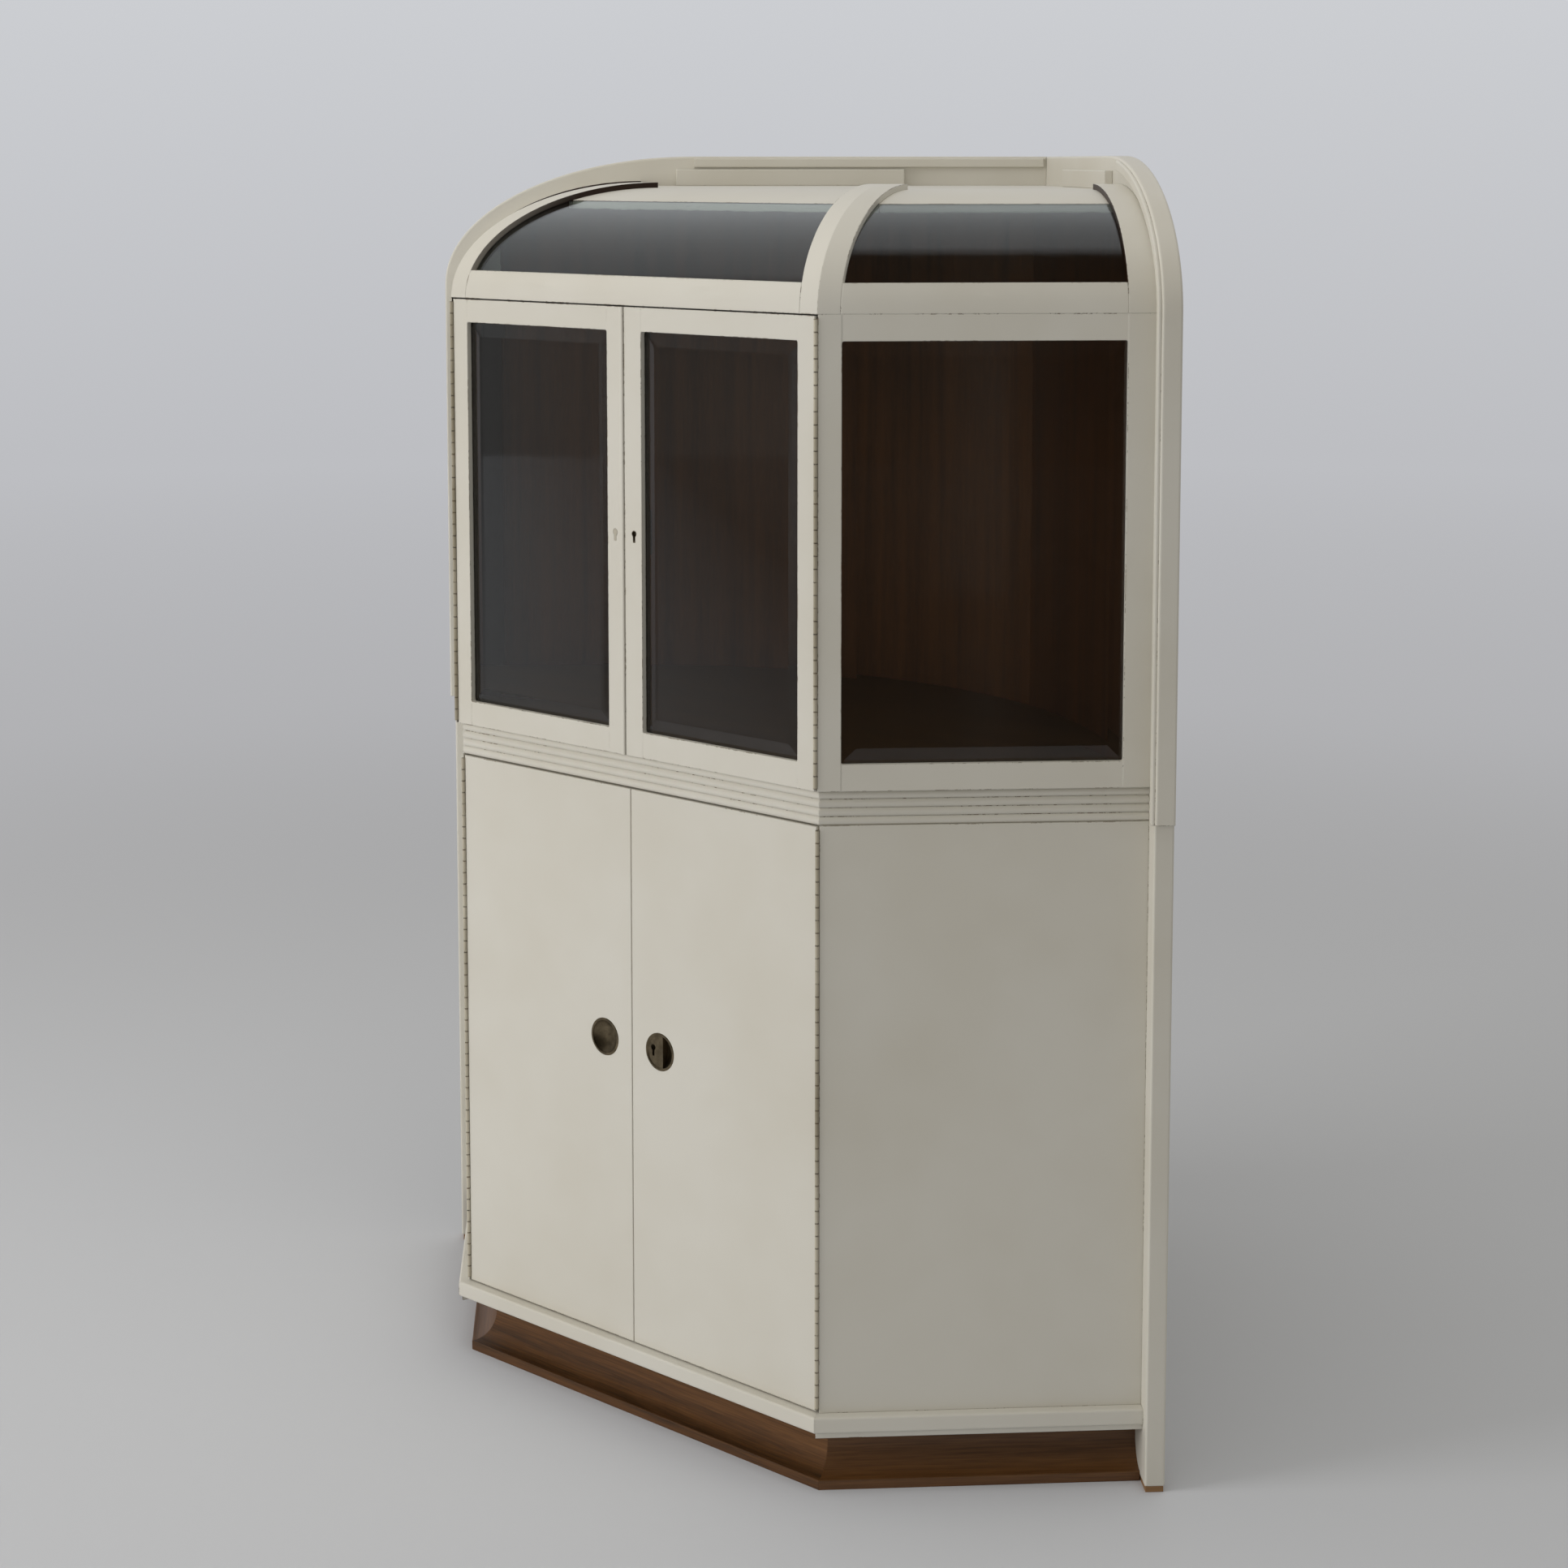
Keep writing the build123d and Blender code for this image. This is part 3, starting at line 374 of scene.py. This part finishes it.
def wood(name, tones, fibre_mm, roughness, varnish, turn=0.0, upright=False, seam=None):
    """Wood in three tones from dark to pale, with painted shade, a little darker, beyond a
    seam's X.
    """
    material, tree = new_material(name)
    place = add(tree, "TexCoord").outputs["Object"]
    turned = add(tree, "Mapping", {"Vector": place, "Rotation": (0.0, 0.0, -turn)})
    across = per_metre(fibre_mm)
    along = across * ALONG_GRAIN
    stretch = (across, across, along) if upright else (along, across, across)
    drawn = add(tree, "Mapping", {"Vector": turned, "Scale": stretch})
    fibres = add(
        tree,
        "TexNoise",
        {"Vector": drawn, "Scale": 1.0, "Detail": 6.0, "Roughness": 0.62, "Distortion": 0.4},
    )
    broad_stretch = tuple(value * BANDS for value in stretch)
    broad = add(tree, "Mapping", {"Vector": turned, "Scale": broad_stretch})
    bands = add(
        tree, "TexNoise", {"Vector": broad, "Scale": 1.0, "Detail": 3.0, "Roughness": 0.5}
    )
    both = add(tree, "Mix", {"Factor": 0.5, "A": fibres, "B": bands}, data_type="FLOAT")
    colour = add(
        tree, "ValToRGB", {"Fac": both}, stops=list(zip((0.32, 0.5, 0.72), tones))
    )
    # Painted shade: beyond the seam's X the wood is darkened, for the shade beside the seam
    if seam is not None:
        from_middle = add(
            tree, "VectorMath", {0: place, 1: (1.0, 0.0, 0.0)}, operation="DOT_PRODUCT"
        )
        limits = {"Value": from_middle, "From Min": seam, "From Max": seam + 0.0004}
        in_painted_shade = add(tree, "MapRange", limits)
        shade = {"Factor": in_painted_shade, "A": colour, "B": linear("DAD6D2")}
        colour = add(tree, "Mix", shade, data_type="RGBA", blend_type="MULTIPLY")
    soft = add(tree, "Bevel", {"Radius": 0.0012}, samples=4)
    relief = add(
        tree,
        "Bump",
        {"Height": fibres, "Strength": 0.25, "Distance": 0.0002, "Normal": soft},
    )
    shader = add(
        tree,
        "BsdfPrincipled",
        {
            "Base Color": colour,
            "Roughness": roughness,
            "IOR": 1.5,
            "Coat Weight": varnish,
            "Coat Roughness": 0.12,
            "Normal": relief,
        },
    )
    add(tree, "OutputMaterial", {"Surface": shader})
    return material


# %% Woods
EIGHTH_TURN = math.pi / 4
OAK_TONES = ("30200F", "5B3B1C", "7A532C")
plinth_wood = {}
for side, turn in (("front", 0.0), ("right", EIGHTH_TURN), ("left", -EIGHTH_TURN)):
    plinth_wood[side] = wood(f"stained_oak_{side}", OAK_TONES, 2.38, 0.5, 0.05, turn)
veneer = wood(
    "varnished_mahogany_veneer",
    ("3A200F", "512E14", "62391A"),
    1.111,
    0.45,
    0.15,
    upright=True,
    # Painted shade darkens the back beyond this X
    seam=0.229,
)
floor_veneer = wood(
    "varnished_mahogany_floor", ("35230F", "46301A", "543A20"), 2.63, 0.3, 0.4
)
softwood = wood(
    "bare_softwood", ("6E4F33", "8E6B47", "A98459"), 3.33, 0.7, 0.0, EIGHTH_TURN
)
inner_stain = wood(
    "dark_stained_inner_wood", ("21140C", INNER_BROWN, "3A2415"), 2.5, 0.5, 0.1, upright=True
)
print("woods:", len(plinth_wood) + 4)

# %% [markdown]
# ## Glass
# The plates are old polished glass with wide bevels, and the hood's panes are bent,
# so what is behind them looks a little uneven. Glass bends light with an IOR near
# 1.52, and a slight green tint tells the eye that it is there. Thin glass could be a
# plain see-through sheet, but only a solid with an IOR bends light at the bevels.
#
# A real pane lets light through to the inside, which a path tracer finds very slowly
# by chance, so rays that look for a lamp pass straight through a tinted filter.


# %% Plate glass
def plate_glass(name, tint):
    """Old polished glass with slow waves about 11 cm long."""
    material, tree = new_material(name)
    place = add(tree, "TexCoord").outputs["Object"]
    waves = add(
        tree, "TexNoise", {"Vector": place, "Scale": per_metre(111), "Detail": 1.0}
    )
    relief = add(tree, "Bump", {"Height": waves, "Strength": 0.05, "Distance": 0.002})
    glass = add(
        tree,
        "BsdfPrincipled",
        {
            "Base Color": linear(tint),
            "Roughness": 0.02,
            "IOR": 1.52,
            "Transmission Weight": 1.0,
            "Normal": relief,
        },
    )
    filtered = add(tree, "BsdfTransparent", {"Color": linear("DDE3DF")})
    shadow = add(tree, "LightPath").outputs["Is Shadow Ray"]
    mixed = add(tree, "MixShader", {"Fac": shadow, 1: glass, 2: filtered})
    add(tree, "OutputMaterial", {"Surface": mixed})
    return material


bevelled_plate = plate_glass("bevelled_plate_glass", "E6EAE6")
bent_pane = plate_glass("bent_hood_glass", "DCE4E0")
print("made", bevelled_plate.name, bent_pane.name)

# %% [markdown]
# ## Metals
# The pulls and the keyhole are cast bronze with a dark brown patina, in blotches of
# a centimetre or two, worn brighter where fingers rub. The locks, hinge pins and
# screws are steel, dulled by age in finer specks. One noise could drive the colour
# alone, but worn metal is also smoother, so it drives the roughness too. Metals need
# no IOR of their own: the base colour sets how they reflect.


# %% Bronze and steel
def old_metal(name, dark, bright, smooth, rough, blotch_mm):
    """Metal in blotches that are dark and rough or bright and smoother."""
    material, tree = new_material(name)
    place = add(tree, "TexCoord").outputs["Object"]
    blotches = add(
        tree,
        "TexNoise",
        {"Vector": place, "Scale": per_metre(blotch_mm), "Detail": 5.0, "Roughness": 0.7},
    )
    colour = add(
        tree, "ValToRGB", {"Fac": blotches}, stops=[(0.38, dark), (0.66, bright)]
    )
    wear = add(
        tree, "MapRange", {"Value": blotches, "To Min": rough, "To Max": smooth}
    )
    soft = add(tree, "Bevel", {"Radius": 0.0004}, samples=4)
    relief = add(
        tree,
        "Bump",
        {"Height": blotches, "Strength": 0.2, "Distance": 0.0001, "Normal": soft},
    )
    shader = add(
        tree,
        "BsdfPrincipled",
        {"Base Color": colour, "Metallic": 1.0, "Roughness": wear, "Normal": relief},
    )
    add(tree, "OutputMaterial", {"Surface": shader})
    return material


bronze = old_metal("patinated_bronze", "6E634F", "8D7F66", 0.4, 0.55, 14.3)
steel = old_metal("dulled_steel", "6F6A62", "9B968C", 0.3, 0.55, 3.125)
print("made", bronze.name, steel.name)

# %% [markdown]
# ## Painting the solids
# Each solid keeps its mesh and only gets a material. Sixty names could each have a
# line, but a name already says what its piece is. So a short table of words is
# enough: the first row with a word in the name decides, and paint is for the rest.

# %% Materials on the solids
finishes = [
    (("plinth_front",), plinth_wood["front"]),
    (("plinth_right",), plinth_wood["right"]),
    (("plinth_left",), plinth_wood["left"]),
    (("hood_glass",), bent_pane),
    (("glass",), bevelled_plate),
    (("hinge_leaf", "hinge_leaves"), hinge_paint),
    (("hinge_pins", "lock_"), steel),
    (("keyhole_plug",), filler),
    (("pull", "keyhole"), bronze),
    (("glazing_beads", "front_cross_rails"), inner_stain),
    (("door_frame",), door_paint),
    (("side_frame_right",), side_paint["right"]),
    (("side_frame_left",), side_paint["left"]),
    (("wall_board_upper_right",), board_paint["right"]),
    (("wall_board_upper_left",), board_paint["left"]),
    (("_ribs", "hood_"), hood_paint),
    (("roof_board",), roof_paint),
    (("wall_board_lower", "base_rails"), edge_paint),
    (("bowed_back",), veneer),
    (("display_floor",), floor_veneer),
    (("board_feet", "base_board", "cupboard_shelf", "shelf_battens"), softwood),
]


def finish_of(node_name):
    """The material of the first row with a word in this name."""
    for words, material in finishes:
        if any(word in node_name for word in words):
            return material
    return paint


for node_name, solid in nodes.items():
    solid.data.materials.clear()
    solid.data.materials.append(finish_of(node_name))
print("dressed", len(nodes), "nodes")

# %% [markdown]
# ## Screws
# Old furniture is held with slotted countersunk screws. They sit on the hinge
# leaves, the lock cases and the keeps, each turned a little differently, as a
# screwdriver leaves them. A slot could be cut from a dome with a boolean, but on a
# head of 5 mm that leaves slivers. So each head is built from two low half domes
# with a flat strip between them, and all heads on one leaf, case or keep are one piece.

# %% One slotted head
# Each ring of a head: its share of the radius, and its share of the rise
HEAD_RINGS = ((1.0, 0.0), (1.0, 0.45), (0.72, 0.9), (0.4, 1.0))
ARC_STEPS = 12
# Half the slot's width, as a share of the head's radius
SLOT = 0.16


def half_disc(mesh, radius, rise, side, place):
    """One half of a slotted head: domed top, outer wall and slot wall."""
    slot_half = radius * SLOT
    start = math.asin(slot_half / radius)
    rings = []
    for share, height in HEAD_RINGS:
        ring = []
        for step in range(ARC_STEPS + 1):
            angle = start + (math.pi - 2 * start) * step / ARC_STEPS
            x = radius * share * math.cos(angle)
            y = max(radius * share * math.sin(angle), slot_half) * side
            ring.append(mesh.verts.new(place @ Vector((x, y, rise * height))))
        rings.append(ring)
    for low, high in zip(rings, rings[1:]):
        for step in range(ARC_STEPS):
            mesh.faces.new((low[step], low[step + 1], high[step + 1], high[step]))
    mesh.faces.new(rings[-1])
    wall = [ring[0] for ring in rings] + [ring[-1] for ring in reversed(rings)]
    mesh.faces.new(wall)


# %% Rows of screws
def screws(name, heads, body, radius=0.0028, rise=0.0003):
    """All heads of one place, given as (centre, outward direction) pairs."""
    mesh = bmesh.new()
    for number, (centre, outward) in enumerate(heads):
        turn = Vector(outward).to_track_quat("Z", "Y").to_matrix().to_4x4()
        spin = Matrix.Rotation(0.7 * number, 4, "Z")
        place = Matrix.Translation(Vector(centre)) @ turn @ spin
        half_disc(mesh, radius, rise, 1, place)
        half_disc(mesh, radius, rise, -1, place)
        # Floor of the slot, just short of the head's rim
        reach = radius * 0.98
        slot_half = radius * SLOT
        corners = (
            (-reach, -slot_half),
            (reach, -slot_half),
            (reach, slot_half),
            (-reach, slot_half),
        )
        floor_corners = [
            mesh.verts.new(place @ Vector((x, y, rise * 0.2))) for x, y in corners
        ]
        mesh.faces.new(floor_corners)
    bmesh.ops.recalc_face_normals(mesh, faces=mesh.faces)
    data = bpy.data.meshes.new(name)
    mesh.to_mesh(data)
    mesh.free()
    data.materials.append(steel)
    piece = bpy.data.objects.new(name, data)
    bpy.context.scene.collection.objects.link(piece)
    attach(piece, body)
    print(name, "has", len(heads), "heads")


# %% Screws of the hinge leaves
KNUCKLE_RADIUS = 0.0028
LEAF_THICKNESS = 0.0012
END_MARGIN = 0.02
SPACING = 0.09
FROM_BACK_EDGE = 0.008
# From a knuckle's outer side to the leaf's open face, which looks towards the pin
face_depth = KNUCKLE_RADIUS + HINGE_GAP / 2 - LEAF_THICKNESS
for level in ("upper", "lower"):
    for side, hand in (("right", 1), ("left", -1)):
        leaf = f"{level}_{side}_hinge_leaf"
        low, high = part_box(leaf)
        face_x = (high.x - face_depth) if hand > 0 else (low.x + face_depth)
        run = high.z - low.z - 2 * END_MARGIN
        count = int(run / SPACING)
        heads = []
        for index in range(count + 1):
            z = low.z + END_MARGIN + run * index / count
            heads.append(((face_x, high.y - FROM_BACK_EDGE, z), (hand, 0, 0)))
        screws(f"{leaf}_screws", heads, f"{level}_{side}_door")

# %% Screws of the locks and keeps
CASE_MARGIN = 0.005
KEEP_MARGIN = 0.006
LOCK_SCREW = {"radius": 0.0022, "rise": 0.0004}
BACKWARD = (0, 1, 0)
for level in ("upper", "lower"):
    low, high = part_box(f"{level}_lock_case")
    heads = []
    for x in (low.x + CASE_MARGIN, high.x - CASE_MARGIN):
        for z in (low.z + CASE_MARGIN, high.z - CASE_MARGIN):
            heads.append(((x, high.y, z), BACKWARD))
    screws(f"{level}_lock_case_screws", heads, f"{level}_right_door", **LOCK_SCREW)
    low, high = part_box(f"{level}_lock_keep")
    heads = []
    for z in (low.z + KEEP_MARGIN, high.z - KEEP_MARGIN):
        heads.append((((low.x + high.x) / 2, high.y, z), BACKWARD))
    screws(f"{level}_keep_screws", heads, f"{level}_left_door", **LOCK_SCREW)

# %% [markdown]
# ## Floor, backdrop and light
# A photographer's paper sweep has no horizon. It could be a curved sheet, but then
# its bend shows from other sides. Here the floor near the cabinet is plain pale
# paper that takes a shadow, and further out it turns slowly into the colour that the
# world shows behind it. The turn depends only on the place on the floor, so it looks
# the same from all sides.
#
# The photographed room was pale behind the cabinet and dark behind the camera, and
# dark surroundings are what makes glass and varnish look clear. So a ray that has
# been reflected sees a dim room on the camera's side, lighter to the left, and the
# pale backdrop on the other side. What is seen directly or through glass stays pale.

# %% What rays see around the cabinet
BACKDROP = "BDBEC2"
ROOM_SIDE = (0.64, -0.77, 0.0)


def shows_backdrop(tree):
    """1 for rays that show the backdrop: direct, reflected, or through glass."""
    ray = add(tree, "LightPath").outputs
    seen = ray["Is Camera Ray"]
    for kind in ("Is Glossy Ray", "Is Transmission Ray"):
        seen = add(tree, "Math", {0: seen, 1: ray[kind]}, operation="MAXIMUM")
    return seen


def dim_in_reflections(tree, colour, direction, low, high, spread):
    """The colour, but a dim room's for reflected rays to the camera's side.

    The room starts between low and high towards that side, and its shades run
    from minus to plus the spread across X.
    """
    depth = add(tree, "LightPath").outputs["Glossy Depth"]
    reflected = add(
        tree, "MapRange", {"Value": depth, "From Min": 0.4, "From Max": 0.6}
    )
    towards = add(
        tree, "VectorMath", {0: direction, 1: ROOM_SIDE}, operation="DOT_PRODUCT"
    )
    in_room = add(
        tree, "MapRange", {"Value": towards, "From Min": low, "From Max": high}
    )
    across = add(
        tree, "VectorMath", {0: direction, 1: (1.0, 0.0, 0.0)}, operation="DOT_PRODUCT"
    )
    shade = add(
        tree, "MapRange", {"Value": across, "From Min": -spread, "From Max": spread}
    )
    room = add(
        tree,
        "ValToRGB",
        {"Fac": shade},
        stops=[(0.0, "7C7A78"), (0.6, "3E3B38"), (1.0, "2A2724")],
    )
    dimmed = add(tree, "Math", {0: reflected, 1: in_room}, operation="MULTIPLY")
    return add(
        tree, "Mix", {"Factor": dimmed, "A": colour, "B": room}, data_type="RGBA"
    )


print("backdrop in linear light:", tuple(round(v, 3) for v in linear(BACKDROP)[:3]))

# %% Floor
bpy.ops.mesh.primitive_circle_add(vertices=96, radius=14.0, fill_type="NGON")
floor = bpy.context.object
floor.name = "studio_floor"
material, tree = new_material("pale_paper_floor")
place = add(tree, "TexCoord").outputs["Object"]
distance = add(tree, "VectorMath", {0: place}, operation="LENGTH")
fade = add(
    tree,
    "MapRange",
    {"Value": distance, "From Min": 1.6, "From Max": 5.5},
    interpolation_type="SMOOTHSTEP",
)
paper = add(tree, "BsdfPrincipled", {"Base Color": linear("D8DBE2"), "Roughness": 0.8})
further = add(tree, "MapRange", {"Value": distance, "From Min": 2.5, "From Max": 13.0})
sweep = add(
    tree, "ValToRGB", {"Fac": further}, stops=[(0.0, "ADADAF"), (1.0, BACKDROP)]
)
sweep = dim_in_reflections(tree, sweep, place, 0.5, 2.0, spread=16.0)
glow = add(tree, "Emission", {"Color": sweep})
share = add(tree, "Math", {0: shows_backdrop(tree), 1: fade}, operation="MULTIPLY")
mixed = add(tree, "MixShader", {"Fac": share, 1: paper, 2: glow})
add(tree, "OutputMaterial", {"Surface": mixed})
floor.data.materials.append(material)
print("floor", tuple(round(v, 1) for v in floor.dimensions), "m")

# %% World
world = bpy.data.worlds.new("studio")
bpy.context.scene.world = world
world.use_nodes = True
tree = world.node_tree
tree.nodes.clear()
soft_light = add(tree, "Background", {"Color": linear("F8F4EB"), "Strength": 0.47})
direction = add(tree, "TexCoord").outputs["Generated"]
height = add(
    tree, "VectorMath", {0: direction, 1: (0.0, 0.0, 1.0)}, operation="DOT_PRODUCT"
)
above = add(tree, "MapRange", {"Value": height, "From Min": -0.1, "From Max": 0.08})
sky = add(tree, "ValToRGB", {"Fac": above}, stops=[(0.0, BACKDROP), (1.0, "CED0D4")])
sky = dim_in_reflections(tree, sky, direction, -0.1, 0.1, spread=0.8)
behind = add(tree, "Background", {"Color": sky, "Strength": 1.0})
mixed = add(tree, "MixShader", {"Fac": shows_backdrop(tree), 1: soft_light, 2: behind})
add(tree, "OutputWorld", {"Surface": mixed})
print("world nodes:", len(tree.nodes))

# %% [markdown]
# ## Lamps
# The shadows are soft and fall to the right, from a large window or softbox on the
# left. A sun or a point lamp would draw hard edges, so both lamps are large squares:
# a key from the front left, and a weak one from above for the hood. They light the
# cabinet but are hidden from reflections and from what glass lets through, because
# the plates would mirror them as bright squares.


# %% Lamps
def softbox(name, place, target, size, power, colour):
    """A square area lamp that faces a point and doesn't show in or through glass."""
    data = bpy.data.lights.new(name, "AREA")
    data.shape = "SQUARE"
    data.size = size
    data.energy = power
    data.color = linear(colour)[:3]
    lamp = bpy.data.objects.new(name, data)
    lamp.location = place
    direction = Vector(target) - Vector(place)
    lamp.rotation_euler = direction.to_track_quat("-Z", "Y").to_euler()
    lamp.visible_glossy = False
    lamp.visible_transmission = False
    bpy.context.scene.collection.objects.link(lamp)
    print(name, "at", place, "with", power, "W")


softbox("key_softbox", (-3.2, -5.6, 1.9), (0, 0, 1.0), 2.6, 178.0, "FFFDFA")
softbox("top_softbox", (0.2, -0.8, 4.2), (0, -0.1, 1.5), 2.0, 22.0, "FFFDF8")
view = bpy.context.scene.view_settings
view.view_transform = "Standard"
